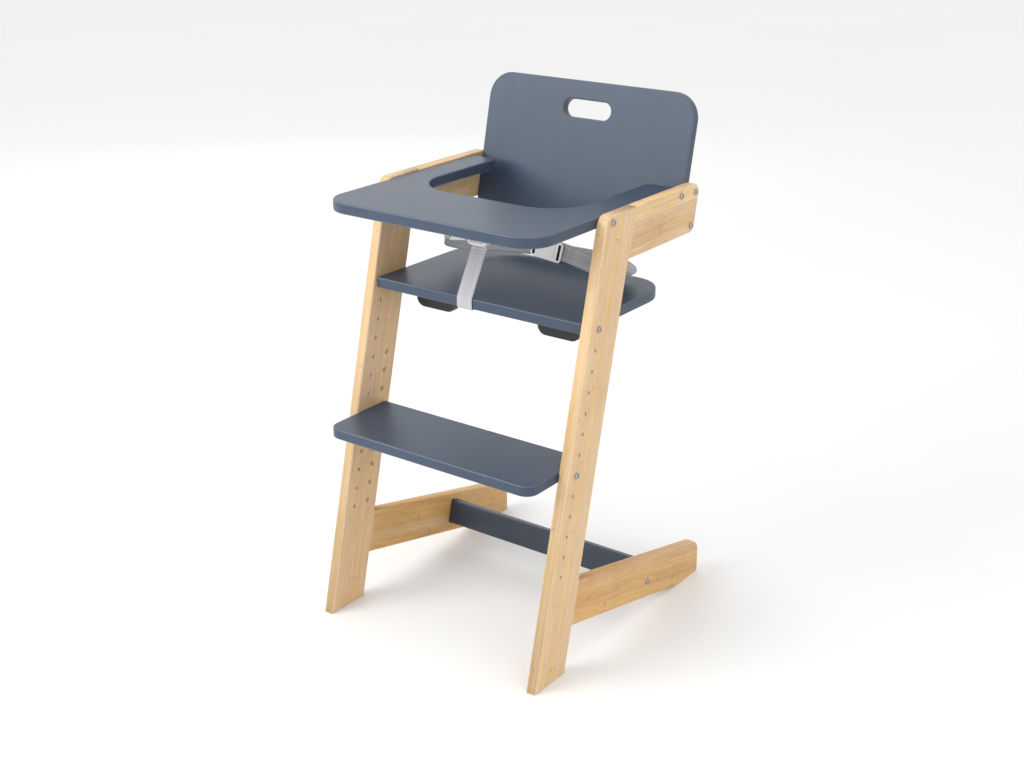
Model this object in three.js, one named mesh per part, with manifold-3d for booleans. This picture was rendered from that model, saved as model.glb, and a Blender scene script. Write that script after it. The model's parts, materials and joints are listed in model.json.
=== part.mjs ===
import * as THREE from "three";
import { mergeVertices } from "three/addons/utils/BufferGeometryUtils.js";
import Module from "manifold-3d";

// Wooden high chair, in mm. +Z is up, the chair faces -Y, +X is the sitter's left.
// While it is being built, y is counted back from the front edge of the posts' feet.

// ---- driving sizes ----
const WIDTH = 450; // over the two side frames
const DEPTH = 513.5; // from the posts' feet to the rear ends of the foot boards
const FRAME_T = 19; // thickness of the side frames' boards
const FRAME_W = 80; // width of the side frames' boards
const PAINTED_T = 18; // thickness of the painted boards
const LEAN = (13.7 * Math.PI) / 180; // how far the posts lean back
const ARM_TOP = 737;
const GAP = 0.3; // clearance at every glue line and contact
const FRAME_ROUND = 3;
const PAINTED_ROUND = 2;

const HOLE_PITCH = 33; // along the post
const HOLE_COUNT = 13; // front row, counted from the top
const TOP_HOLE = 588; // along the post, from its foot
const FRONT_ROW = 23; // from the post's front edge
const ROW_SPACING = 34; // level distance from the front row to the rear row
const FIRST_REAR_HOLE = 4;
const REST_HOLE = 7; // where the footrest is bolted
const CLEAR_R = 3.5;
const PEG_HOLE_R = 5;
const PEG_HOLE_DEPTH = 12;

const BOLT_R = 3;
const BOLT_REACH = 14; // how far a bolt enters a painted board
const HEAD_R = 5.3;
const HEAD_T = 3.2;
const SOCKET_R = 2.3;
const SOCKET_DEPTH = 1.8;
const INSERT_R = 5;
const INSERT_LENGTH = 15;
const PEG_R = 4.8;

const WEBBING_W = 30;
const WEBBING_T = 1.6;
const CROTCH_X = -20; // the crotch strap has slid a little along the seat's edge

// ---- sizes that follow from them ----
const HALF = WIDTH / 2;
const INNER = HALF - FRAME_T;
const BOARD_HALF = INNER - GAP; // half the width of the painted boards
const SLOPE = Math.tan(LEAN);
const POST_DEPTH = FRAME_W / Math.cos(LEAN); // level depth of a post
const frontEdge = (z) => z * SLOPE;
const rearEdge = (z) => POST_DEPTH + z * SLOPE;

// A point given along the post and inward from its front edge, as [y, z]
const onPost = (inward, along) => [
  inward * Math.cos(LEAN) + along * Math.sin(LEAN),
  along * Math.cos(LEAN) - inward * Math.sin(LEAN),
];
const frontHole = (index) => onPost(FRONT_ROW, TOP_HOLE - HOLE_PITCH * index);
const rearHole = (index) => {
  const [y, z] = frontHole(index);
  return [y + ROW_SPACING, z];
};

// ---- helpers ----
const wasm = await Module();
wasm.setup();

function toManifold(geometry) {
  const bare = new THREE.BufferGeometry();
  bare.setAttribute("position", geometry.getAttribute("position"));
  if (geometry.index) bare.setIndex(geometry.index);
  const merged = mergeVertices(bare, 1e-4);
  const vertProperties = new Float32Array(merged.getAttribute("position").array);
  const triVerts = new Uint32Array(merged.index.array);
  return new wasm.Manifold(new wasm.Mesh({ numProp: 3, vertProperties, triVerts }));
}

function toGeometry(solid) {
  const mesh = solid.getMesh();
  const geometry = new THREE.BufferGeometry();
  geometry.setAttribute("position", new THREE.BufferAttribute(mesh.vertProperties, 3));
  geometry.setIndex(new THREE.BufferAttribute(mesh.triVerts, 1));
  return geometry;
}

// Outline with every corner [a, b, radius] rounded
function roundedShape(corners, steps = 6) {
  const points = [];
  corners.forEach(([a, b, radius = 0], i) => {
    const corner = new THREE.Vector2(a, b);
    if (!radius) return points.push(corner);
    const before = new THREE.Vector2(...corners.at(i - 1)).sub(corner).normalize();
    const after = new THREE.Vector2(...corners[(i + 1) % corners.length]).sub(corner).normalize();
    const half = Math.acos(THREE.MathUtils.clamp(before.dot(after), -1, 1)) / 2;
    const centre = before.clone().add(after).normalize();
    centre.multiplyScalar(radius / Math.sin(half)).add(corner);
    const start = before.clone().multiplyScalar(radius / Math.tan(half)).add(corner).sub(centre);
    const end = after.clone().multiplyScalar(radius / Math.tan(half)).add(corner).sub(centre);
    const turn = Math.atan2(start.x * end.y - start.y * end.x, start.dot(end));
    for (let s = 0; s <= steps; s++) {
      const point = start.clone().rotateAround(new THREE.Vector2(), (turn * s) / steps);
      points.push(point.add(centre));
    }
    return points;
  });
  return new THREE.Shape(points);
}

// Board of the given outline, thickness along local z from 0, edges rounded over
function board(shape, thickness, round) {
  const geometry = new THREE.ExtrudeGeometry(shape, {
    depth: thickness - 2 * round,
    bevelEnabled: true,
    bevelThickness: round,
    bevelSize: round,
    bevelOffset: -round,
    bevelSegments: 3,
    curveSegments: 10,
  });
  geometry.translate(0, 0, round);
  return geometry;
}

// Local x, y, z of a side board go to y, z, x
const upright = new THREE.Matrix4().makeBasis(
  new THREE.Vector3(0, 1, 0), new THREE.Vector3(0, 0, 1), new THREE.Vector3(1, 0, 0),
);

// Cylinder along x from x0 to x1 about [y, z]
function rod(x0, x1, [y, z], radius, sides = 16) {
  const geometry = new THREE.CylinderGeometry(radius, radius, Math.abs(x1 - x0), sides);
  geometry.rotateZ(-Math.PI / 2);
  geometry.translate((x0 + x1) / 2, y, z);
  return toManifold(geometry);
}

function box(x0, x1, y0, y1, z0, z1) {
  const geometry = new THREE.BoxGeometry(x1 - x0, y1 - y0, z1 - z0);
  geometry.translate((x0 + x1) / 2, (y0 + y1) / 2, (z0 + z1) / 2);
  return toManifold(geometry);
}

const subtractAll = (solid, tools) => tools.reduce((left, tool) => left.subtract(tool), solid);
const mirrored = (solid, side) => (side > 0 ? solid : solid.mirror([1, 0, 0]));

// ---- the scene's materials and pieces ----
const material = {
  bamboo: { color: 0xdcb888, roughness: 0.45 },
  paint: { color: 0x5b6675, roughness: 0.5 },
  steel: { color: 0xb4b7ba, roughness: 0.3, metalness: 1 },
  brass: { color: 0xb08d4f, roughness: 0.4, metalness: 1 },
  beech: { color: 0xc9a678, roughness: 0.6 },
  webbing: { color: 0xb6b5b8, roughness: 0.9 },
  plastic: { color: 0xeeeeec, roughness: 0.4 },
};
const group = new THREE.Group();

function add(name, solid, slot) {
  const geometry = solid.isBufferGeometry ? solid : toGeometry(solid);
  geometry.translate(0, -DEPTH / 2, 0);
  const mesh = new THREE.Mesh(geometry, new THREE.MeshStandardMaterial(material[slot]));
  mesh.material.name = slot;
  mesh.name = name;
  group.add(mesh);
}

const sides = { left: 1, right: -1 };
const eachSide = (make) => Object.entries(sides).forEach(([word, side]) => make(word, side));

// ---- where the painted boards and their bolts are ----
const [, SEAT_MID] = frontHole(0);
const [, FOOTREST_MID] = frontHole(REST_HOLE);
const SEAT_TOP = SEAT_MID + PAINTED_T / 2;
const SEAT_UNDER = SEAT_MID - PAINTED_T / 2;
const SEAT_FRONT = 145;
const SEAT_REAR = 404;
const TRAY_TOP = ARM_TOP - 3;
const TRAY_MID = TRAY_TOP - PAINTED_T / 2;
const BACK_MID_Y = 440; // the backrest's middle plane at BACK_MID_Z
const BACK_MID_Z = 700;
const BACK_LEAN = (12.5 * Math.PI) / 180;
const BACK_BOTTOM = 648;
const BACK_TOP = 874;
const HANDLE_MID = 828;
const STRETCHER_H = 45;
const STRETCHER_ALONG = 313; // from the post's front edge, square to the post
const STRETCHER_UP = 145; // along the post

const backY = (z) => BACK_MID_Y + (z - BACK_MID_Z) * Math.tan(BACK_LEAN);
const bolts = {
  tray_front_bolt: [195.5, TRAY_MID],
  tray_rear_bolt: [398, TRAY_MID],
  backrest_upper_bolt: [backY(723) - 1.5, 723], // a little ahead of the board's middle
  backrest_lower_bolt: [backY(669) - 1.5, 669],
  footrest_bolt: frontHole(REST_HOLE),
  stretcher_bolt: onPost(STRETCHER_ALONG, STRETCHER_UP - 11),
};
const stretcherPeg = onPost(STRETCHER_ALONG, STRETCHER_UP + 11);

// ---- side frames: one rounded outline, sawn at its two glue lines ----
const FOOT_TOP = 157; // height at which a foot board's top edge would meet y = 121
const footTop = (y) => FOOT_TOP - (y - 121) * SLOPE;
const FOOT_FLAT = 445; // where the foot board's lower edge reaches the floor
const FOOT_UNDER = 77.5;
const ARM_UNDER = ARM_TOP - FRAME_W;
const ARM_END_LOW = 442;
const ARM_END_HIGH = 458.5;
const postRearAt = (z) => [rearEdge(z), z];

const frameShape = roundedShape([
  [0, 0], [POST_DEPTH, 0],
  postRearAt(FOOT_UNDER),
  [FOOT_FLAT, 0], [DEPTH, 0],
  [DEPTH, footTop(DEPTH), 24],
  postRearAt(154.5),
  postRearAt(ARM_UNDER),
  [ARM_END_LOW, ARM_UNDER, 14],
  [ARM_END_HIGH, ARM_TOP, 14],
  [frontEdge(ARM_TOP), ARM_TOP, 20],
]);

const holes = [];
for (let i = 0; i < HOLE_COUNT; i++) {
  holes.push(rod(INNER - 5, HALF + 5, frontHole(i), CLEAR_R, 12));
  if (i >= FIRST_REAR_HOLE) {
    holes.push(rod(INNER - 5, INNER + PEG_HOLE_DEPTH, rearHole(i), PEG_HOLE_R, 12));
  }
}
for (const [name, place] of Object.entries(bolts)) {
  if (name !== "footrest_bolt") holes.push(rod(INNER - 5, HALF + 5, place, CLEAR_R));
}
holes.push(rod(INNER - 5, INNER + PEG_HOLE_DEPTH, stretcherPeg, PEG_HOLE_R));

const frameBlank = board(frameShape, FRAME_T, FRAME_ROUND).applyMatrix4(upright);
frameBlank.translate(INNER, 0, 0);
const frame = subtractAll(toManifold(frameBlank), holes);

// Slab square to x, y and z leaning with the posts, from inward0 to inward1
function postSlab(inward0, inward1) {
  const geometry = new THREE.BoxGeometry(60, inward1 - inward0, 3000);
  geometry.translate(0, (inward0 + inward1) / 2, 0);
  geometry.rotateX(-LEAN);
  return toManifold(geometry.translate(HALF, 0, 0));
}
const postSide = postSlab(-500, FRAME_W - GAP / 2);
const rearSide = postSlab(FRAME_W + GAP / 2, 1500);
const boardsBehind = frame.intersect(rearSide);
const UPPER_HALF = box(0, 400, -500, 900, 400, 1200);
const LOWER_HALF = box(0, 400, -500, 900, -100, 400);

eachSide((word, side) => {
  add(`post_${word}`, mirrored(frame.intersect(postSide), side), "bamboo");
  add(`arm_${word}`, mirrored(boardsBehind.intersect(UPPER_HALF), side), "bamboo");
  add(`foot_${word}`, mirrored(boardsBehind.intersect(LOWER_HALF), side), "bamboo");
});

// ---- painted boards ----
// Sockets for the threaded inserts, and for pegs, in both side edges of a board
function socketed(solid, places, pegs = []) {
  const tools = [];
  for (const side of [1, -1]) {
    const sunk = side * (BOARD_HALF - INSERT_LENGTH - 2);
    const out = side * (BOARD_HALF + 5);
    places.forEach((place) => tools.push(rod(sunk, out, place, INSERT_R + 0.1, 16)));
    pegs.forEach((place) => tools.push(rod(sunk, out, place, PEG_R + 0.1, 16)));
  }
  return subtractAll(solid, tools);
}

function levelBoard(corners, top) {
  const blank = board(roundedShape(corners), PAINTED_T, PAINTED_ROUND);
  return toManifold(blank.translate(0, 0, top - PAINTED_T));
}

// Tray: a deep front, a rounded cut-out for the sitter and two wings along the arms
const TRAY_FRONT = 18;
const TRAY_REAR = 411;
const TRAY_CUT_FRONT = 172;
const WING = 53;
const WING_END_R = 13;
const wingInner = BOARD_HALF - WING;
const tray = levelBoard([
  [-BOARD_HALF, TRAY_FRONT, 48], [BOARD_HALF, TRAY_FRONT, 48],
  [BOARD_HALF, TRAY_REAR, WING_END_R], [wingInner, TRAY_REAR, WING_END_R],
  [wingInner, TRAY_CUT_FRONT, 80], [-wingInner, TRAY_CUT_FRONT, 80],
  [-wingInner, TRAY_REAR, WING_END_R], [-BOARD_HALF, TRAY_REAR, WING_END_R],
], TRAY_TOP);
add("tray", socketed(tray, [bolts.tray_front_bolt, bolts.tray_rear_bolt]), "paint");

// Seat: square front edge, large rounded rear corners
const seatBolt = frontHole(0);
const seat = levelBoard([
  [-BOARD_HALF, SEAT_FRONT, 3], [BOARD_HALF, SEAT_FRONT, 3],
  [BOARD_HALF, SEAT_REAR, 60], [-BOARD_HALF, SEAT_REAR, 60],
], SEAT_TOP);
add("seat", socketed(seat, [seatBolt]), "paint");

// Footrest: rounded front corners, held by a bolt and a peg at each side
const FOOTREST_FRONT = 10;
const FOOTREST_REAR = 155;
const footrestPeg = rearHole(REST_HOLE);
const footrest = levelBoard([
  [-BOARD_HALF, FOOTREST_FRONT, 22], [BOARD_HALF, FOOTREST_FRONT, 22],
  [BOARD_HALF, FOOTREST_REAR, 3], [-BOARD_HALF, FOOTREST_REAR, 3],
], FOOTREST_MID + PAINTED_T / 2);
add("footrest", socketed(footrest, [bolts.footrest_bolt], [footrestPeg]), "paint");

// Backrest: leaning board with a handle slot
const BACK_T = 17;
const HANDLE_HALF = 47.5;
const HANDLE_R = 15;
const up = (z) => (z - BACK_MID_Z) / Math.cos(BACK_LEAN);
const backShape = roundedShape([
  [-BOARD_HALF, up(BACK_BOTTOM), 6], [BOARD_HALF, up(BACK_BOTTOM), 6],
  [BOARD_HALF, up(BACK_TOP), 44], [-BOARD_HALF, up(BACK_TOP), 44],
]);
backShape.holes.push(new THREE.Path(roundedShape([
  [-HANDLE_HALF, up(HANDLE_MID) - HANDLE_R, HANDLE_R - 0.01],
  [HANDLE_HALF, up(HANDLE_MID) - HANDLE_R, HANDLE_R - 0.01],
  [HANDLE_HALF, up(HANDLE_MID) + HANDLE_R, HANDLE_R - 0.01],
  [-HANDLE_HALF, up(HANDLE_MID) + HANDLE_R, HANDLE_R - 0.01],
]).getPoints()));
const backBlank = board(backShape, BACK_T, PAINTED_ROUND).translate(0, 0, -BACK_T / 2);
backBlank.rotateX(Math.PI / 2 - BACK_LEAN).translate(0, BACK_MID_Y, BACK_MID_Z);
const backPlaces = [bolts.backrest_upper_bolt, bolts.backrest_lower_bolt];
add("backrest", socketed(toManifold(backBlank), backPlaces), "paint");

// Stretcher between the foot boards, square to them
const half = [PAINTED_T / 2, STRETCHER_H / 2];
const bar = board(roundedShape([
  [-half[0], -half[1], 3], [half[0], -half[1], 3], [half[0], half[1], 3], [-half[0], half[1], 3],
], 3), 2 * BOARD_HALF, 0.5);
bar.applyMatrix4(upright).translate(-BOARD_HALF, 0, 0).rotateX(-LEAN);
bar.translate(0, ...onPost(STRETCHER_ALONG, STRETCHER_UP));
add("stretcher", socketed(toManifold(bar), [bolts.stretcher_bolt], [stretcherPeg]), "paint");

// Stiffening tabs under the seat, lower corners rounded
const TAB = { inner: 84, outer: 165, front: 198, thick: 17, drop: 37 };
eachSide((word, side) => {
  const tabTop = SEAT_UNDER - GAP;
  const shape = roundedShape([
    [TAB.inner, tabTop], [TAB.inner, tabTop - TAB.drop, 16],
    [TAB.outer, tabTop - TAB.drop, 16], [TAB.outer, tabTop],
  ]);
  const blank = board(shape, TAB.thick, PAINTED_ROUND).rotateX(Math.PI / 2);
  blank.translate(0, TAB.front + TAB.thick, 0);
  add(`seat_tab_${word}`, mirrored(toManifold(blank), side), "paint");
});

// ---- bolts, inserts and pegs ----
// Button head on the outer face, about [y, z]; its hexagon socket is cut in
function boltHead(place) {
  const profile = [[0, 0], [HEAD_R, 0], [HEAD_R, 0.8], [4.9, 1.9], [3.6, 2.8], [2.6, HEAD_T], [0, HEAD_T]];
  const dome = new THREE.LatheGeometry(profile.map(([r, h]) => new THREE.Vector2(r, h)), 20);
  dome.rotateZ(-Math.PI / 2).translate(HALF + GAP, ...place);
  const top = HALF + GAP + HEAD_T;
  return toManifold(dome).subtract(rod(top - SOCKET_DEPTH, top + 1, place, SOCKET_R, 6));
}

function insert(place) {
  const start = BOARD_HALF - INSERT_LENGTH;
  const sleeve = rod(start, BOARD_HALF - 0.2, place, INSERT_R, 16);
  return sleeve.subtract(rod(start - 1, BOARD_HALF + 1, place, BOLT_R + 0.2, 12));
}

for (const [name, place] of Object.entries({ ...bolts, seat_bolt: seatBolt })) {
  // The seat's bolts are heads only, so that the seat can be set between two holes.
  const shank = rod(BOARD_HALF - BOLT_REACH, HALF + GAP + 0.5, place, BOLT_R, 12);
  const bolt = name === "seat_bolt" ? boltHead(place) : boltHead(place).add(shank);
  eachSide((word, side) => {
    add(`${name}_${word}`, mirrored(bolt, side), "steel");
    add(`${name.replace("bolt", "insert")}_${word}`, mirrored(insert(place), side), "brass");
  });
}

const pegs = { footrest_peg: footrestPeg, stretcher_peg: stretcherPeg };
for (const [name, place] of Object.entries(pegs)) {
  const peg = rod(BOARD_HALF - INSERT_LENGTH, INNER + PEG_HOLE_DEPTH - 1, place, PEG_R, 16);
  eachSide((word, side) => add(`${name}_${word}`, mirrored(peg, side), "beech"));
}

// ---- harness ----
// Closed ribbon: at each station a centre, a width direction and a thickness direction
function ribbon(stations, width = WEBBING_W, thickness = WEBBING_T) {
  const positions = [];
  const index = [];
  for (const { at, wide, thick } of stations) {
    for (const [w, t] of [[-1, -1], [1, -1], [1, 1], [-1, 1]]) {
      const point = at.clone().addScaledVector(wide, (w * width) / 2);
      positions.push(...point.addScaledVector(thick, (t * thickness) / 2).toArray());
    }
  }
  const last = stations.length - 1;
  for (let s = 0; s < last; s++) {
    for (let c = 0; c < 4; c++) {
      const [a, b] = [4 * s + c, 4 * s + ((c + 1) % 4)];
      index.push(a, b, b + 4, a, b + 4, a + 4);
    }
  }
  index.push(0, 3, 2, 0, 2, 1);
  const e = 4 * last;
  index.push(e, e + 1, e + 2, e, e + 2, e + 3);
  const geometry = new THREE.BufferGeometry();
  geometry.setAttribute("position", new THREE.Float32BufferAttribute(positions, 3));
  geometry.setIndex(index);
  return geometry;
}

// Ribbon along a smooth curve; wideAt gives the wanted width direction at a point of it
function strap(points, wideAt, count) {
  const curve = new THREE.CatmullRomCurve3(points.map((p) => new THREE.Vector3(...p)), false, "centripetal");
  const stations = [];
  for (let s = 0; s <= count; s++) {
    const at = curve.getPointAt(s / count);
    const tangent = curve.getTangentAt(s / count);
    const wide = wideAt(at).addScaledVector(tangent, -wideAt(at).dot(tangent)).normalize();
    stations.push({ at, wide, thick: tangent.clone().cross(wide) });
  }
  return ribbon(stations);
}

const X_WIDE = () => new THREE.Vector3(1, 0, 0);
// Upright in front and at the middle of the rear, its upper edge leaning outwards round the hips
const BELT_WIDE = (at) => {
  const { smoothstep } = THREE.MathUtils;
  const lean = 1.05 * smoothstep(at.y, 262, 350) * smoothstep(Math.abs(at.x), 60, 140);
  const outwards = new THREE.Vector3(at.x, at.y - 300, 0).normalize().multiplyScalar(Math.sin(lean));
  return outwards.setZ(Math.cos(lean));
};
const OFF = WEBBING_T / 2 + GAP; // webbing's middle stands this far off a board
const BUCKLE = { y: 186, z: 668, half: [19, 7, 18] };

// Points round the seat's edge at y, from its underside to lean radians past upright
function roundEdge(x, edge, outward, lean) {
  const radius = PAINTED_ROUND + OFF;
  const arc = (z, angle) => [
    x, edge - outward * (PAINTED_ROUND - radius * Math.cos(angle)), z + radius * Math.sin(angle),
  ];
  const lower = [-1, -0.75, -0.5, -0.25, 0].map((k) => arc(SEAT_UNDER + PAINTED_ROUND, (k * Math.PI) / 2));
  return [...lower, arc(SEAT_TOP - PAINTED_ROUND, 0), arc(SEAT_TOP - PAINTED_ROUND, lean)];
}

// Crotch strap: screwed under the seat, round its front edge and up to the buckle
add("crotch_strap", strap([
  [CROTCH_X, SEAT_FRONT + 60, SEAT_UNDER - OFF], [CROTCH_X, SEAT_FRONT + 12, SEAT_UNDER - OFF],
  ...roundEdge(CROTCH_X, SEAT_FRONT, -1, 0.33),
  [CROTCH_X, BUCKLE.y + 1, BUCKLE.z - BUCKLE.half[2] - 0.5],
], X_WIDE, 60), "webbing");

const buckleShape = roundedShape([
  [CROTCH_X - BUCKLE.half[0], -BUCKLE.half[2], 7], [CROTCH_X + BUCKLE.half[0], -BUCKLE.half[2], 7],
  [CROTCH_X + BUCKLE.half[0], BUCKLE.half[2], 10], [CROTCH_X - BUCKLE.half[0], BUCKLE.half[2], 10],
], 4);
const buckle = board(buckleShape, 2 * BUCKLE.half[1], 2).rotateX(Math.PI / 2 - 0.25);
add("buckle", buckle.translate(0, BUCKLE.y + BUCKLE.half[1], BUCKLE.z), "plastic");

// Waist belt: from the buckle round each hip to the middle of the seat's rear
const BELT_REAR = [0, 400, SEAT_TOP + 17];
const ADJUSTER = { half: [26, 3.5, 17], left: 78, right: 60 }; // left, right: from the buckle's edge
const BELT_BACK = 0.28; // how far the belt's front runs back, and down, per mm outwards
const BELT_DOWN = 0.22;
eachSide((word, side) => {
  const start = CROTCH_X + side * (BUCKLE.half[0] + 0.6);
  const straight = (out) => [start + side * out, 215 + out * BELT_BACK, BUCKLE.z - out * BELT_DOWN];
  const away = ADJUSTER[word];
  const belt = strap([
    [start, 196, BUCKLE.z], straight(away - 28), straight(away), straight(away + 28),
    [side * 152, 262, 630], [side * 161, 300, 611], [side * 157, 348, 590],
    [side * 138, 382, BELT_REAR[2] - 3], [side * 90, 399, BELT_REAR[2]], [side * 0.5, ...BELT_REAR.slice(1)],
  ], BELT_WIDE, 48);
  add(`belt_${word}`, belt, "webbing");
  const [hx, hy, hz] = ADJUSTER.half;
  const corners = [[-hx, -hz, 6], [hx, -hz, 6], [hx, hz, 6], [-hx, hz, 6]];
  const plate = board(roundedShape(corners, 4), hy, 1);
  plate.rotateZ(-side * Math.atan(BELT_DOWN)).rotateX(Math.PI / 2).rotateZ(side * Math.atan(BELT_BACK));
  const middle = straight(away);
  add(`adjuster_${word}`, plate.translate(middle[0], middle[1] - WEBBING_T / 2 - 4 * GAP, middle[2]), "plastic");
});

// Rear anchor: carries the two belt ends and runs round the seat's rear edge to its underside
add("rear_anchor", strap([
  [0, SEAT_REAR - 60, SEAT_UNDER - OFF], [0, SEAT_REAR - 12, SEAT_UNDER - OFF],
  ...roundEdge(0, SEAT_REAR, 1, 0.1),
  [0, BELT_REAR[1] + WEBBING_T + GAP, BELT_REAR[2] + 14],
], X_WIDE, 60), "webbing");

export default group;
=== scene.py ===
"""Baby high chair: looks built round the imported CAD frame.

Metres, +Z up, the chair faces -Y and +X is the sitter's left. Every new piece is a surface
computed with numpy, placed from the boxes of the CAD nodes that it stands for.
"""

import json
import math

import bpy
import numpy as np
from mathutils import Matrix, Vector
from mathutils.geometry import delaunay_2d_cdt


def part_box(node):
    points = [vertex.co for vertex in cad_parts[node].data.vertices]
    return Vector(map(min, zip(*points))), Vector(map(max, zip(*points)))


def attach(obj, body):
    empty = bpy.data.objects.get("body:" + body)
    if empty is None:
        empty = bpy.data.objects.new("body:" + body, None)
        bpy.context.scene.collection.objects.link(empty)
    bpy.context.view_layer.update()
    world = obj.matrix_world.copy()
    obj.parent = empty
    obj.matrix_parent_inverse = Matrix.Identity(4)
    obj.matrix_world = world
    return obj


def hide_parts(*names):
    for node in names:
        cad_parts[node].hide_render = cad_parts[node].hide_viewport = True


MM = 0.001
SIDES = {"left": 1, "right": -1}

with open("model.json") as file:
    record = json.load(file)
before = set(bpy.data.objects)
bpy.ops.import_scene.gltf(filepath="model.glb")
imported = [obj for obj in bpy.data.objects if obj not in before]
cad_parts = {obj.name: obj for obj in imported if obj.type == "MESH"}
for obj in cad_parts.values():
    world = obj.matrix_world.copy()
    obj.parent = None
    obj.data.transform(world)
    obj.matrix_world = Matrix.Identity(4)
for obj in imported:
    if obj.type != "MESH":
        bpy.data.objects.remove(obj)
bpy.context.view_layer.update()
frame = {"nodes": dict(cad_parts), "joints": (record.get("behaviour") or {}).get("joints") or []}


# ---------------------------------------------------------------- camera, light and floor

CAMERA_AT = (1.3736, -1.8925, 1.3048)
CAMERA_AZIMUTH = 36.13  # degrees round from straight in front, towards +X
CAMERA_ELEVATION = 21.25
CAMERA_LENS = 52.1  # focal length and sensor width, both in mm
CAMERA_SENSOR = 36.0
CHAIR_MIDDLE = (0, 0, 0.5)
FLOOR_HALF = 30.0

camera = bpy.data.objects.new("camera", bpy.data.cameras.new("camera"))
camera.data.sensor_width = CAMERA_SENSOR
camera.data.lens = CAMERA_LENS
camera.location = CAMERA_AT
camera.rotation_euler = (math.radians(90 - CAMERA_ELEVATION), 0, math.radians(CAMERA_AZIMUTH))
bpy.context.scene.collection.objects.link(camera)
bpy.context.scene.camera = camera
bpy.context.scene.view_settings.view_transform = "Standard"


def soft_light(name, place, size, watts):
    """White square area light at place, aimed at the chair."""
    lamp = bpy.data.objects.new(name, bpy.data.lights.new(name, "AREA"))
    lamp.data.size = size
    lamp.data.energy = watts
    lamp.location = place
    aim = Vector(CHAIR_MIDDLE) - Vector(place)
    lamp.rotation_euler = aim.to_track_quat("-Z", "Y").to_euler()
    bpy.context.scene.collection.objects.link(lamp)


soft_light("key_light", (-1.7, -2.6, 2.2), size=2.2, watts=72)
soft_light("side_light", (3.0, -1.2, 1.6), size=2.0, watts=14)
soft_light("back_light", (-2.6, 2.4, 1.7), size=2.4, watts=6)

world = bpy.data.worlds.new("studio")
world.use_nodes = True
world.node_tree.nodes["Background"].inputs["Color"].default_value = (1, 1, 1, 1)
world.node_tree.nodes["Background"].inputs["Strength"].default_value = 1.0
bpy.context.scene.world = world


# ---------------------------------------------------------------- shader maths

class Wire:
    """A socket in a material's node tree. Arithmetic on it adds Math nodes, and node() adds any
    other node."""

    def __init__(self, tree, socket=None):
        self.tree = tree
        self.socket = socket

    def node(self, kind, inputs=None, output=0, **settings):
        """New node: its settings first, then a value or a Wire for each of its inputs."""
        made = self.tree.nodes.new("ShaderNode" + kind)
        for name, value in settings.items():
            setattr(made, name, value)
        for key, value in (inputs or {}).items():
            if isinstance(value, Wire):
                self.tree.links.new(value.socket, made.inputs[key])
            else:
                made.inputs[key].default_value = value
        return Wire(self.tree, made.outputs[output])

    def mark(self, name):
        """The value that piece() gave to the surface's points under this name."""
        return self.node("Attribute", output=2, attribute_name=name)

    def maths(self, operation, *others):
        return self.node("Math", dict(enumerate((self, *others))), operation=operation)

    def split(self):
        """The three parts of a vector."""
        parts = self.node("SeparateXYZ", {"Vector": self}).socket.node.outputs
        return [Wire(self.tree, parts[part]) for part in range(3)]

    def __add__(self, other): return self.maths("ADD", other)
    def __radd__(self, other): return self.maths("ADD", other)
    def __sub__(self, other): return self.maths("SUBTRACT", other)
    def __rsub__(self, other): return self.maths("MULTIPLY", -1.0).maths("ADD", other)
    def __mul__(self, other): return self.maths("MULTIPLY", other)
    def __rmul__(self, other): return self.maths("MULTIPLY", other)
    def __truediv__(self, other): return self.maths("DIVIDE", other)
    def __pow__(self, other): return self.maths("POWER", other)
    def __lt__(self, other): return self.maths("LESS_THAN", other)
    def __gt__(self, other): return self.maths("GREATER_THAN", other)
    def __abs__(self): return self.maths("ABSOLUTE")

    def ramp(self, low, high):
        """0 below low, 1 above high, smooth between them."""
        values = {"Value": self, "From Min": low, "From Max": high}
        return self.node("MapRange", values, interpolation_type="SMOOTHSTEP")

    def mix(self, first, second):
        """Colour mix from first to second by this value."""
        return self.node("Mix", {0: self, 6: first, 7: second}, output=2, data_type="RGBA")


def colour(*rgb):
    """Linear colour of screen values from 0 to 255, the curve being that of the sRGB standard."""
    part = np.array(rgb) / 255
    linear = np.where(part <= 0.04045, part / 12.92, ((part + 0.055) / 1.055) ** 2.4)
    return (*linear.tolist(), 1.0)


def new_material(name, **constants):
    """Empty Principled material; returns it and a Wire in its tree to start from."""
    made = bpy.data.materials.new(name)
    made.use_nodes = True
    shader = made.node_tree.nodes["Principled BSDF"]
    for socket, value in constants.items():
        shader.inputs[socket.replace("_", " ")].default_value = value
    return made, shader, Wire(made.node_tree)


def connect(shader, wires):
    """Link each named input of the shader to its Wire."""
    for name, wire in wires.items():
        wire.tree.links.new(wire.socket, shader.inputs[name])


def noise(start, where, scale, detail=2.0, roughness=0.5):
    """Cloudy noise about 0.5, with scale cells to a metre."""
    values = {"Vector": where, "Scale": scale, "Detail": detail, "Roughness": roughness}
    return start.node("TexNoise", values)


def lighter(shade, times):
    """Colour of a shade with its screen values multiplied."""
    return colour(*(times * np.array(shade)))


# ---------------------------------------------------------------- materials

LEAN = math.atan2(frame["joints"][0]["axis"][1], frame["joints"][0]["axis"][2])
STRIP = 20 * MM  # width of one bamboo strip
LAYERS = 158.0  # layers of strips to a metre of thickness
KNUCKLE_SPACING = 230 * MM  # along one strip
WAVINESS = 1.2 * MM  # how far a strip's sides wander


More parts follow.
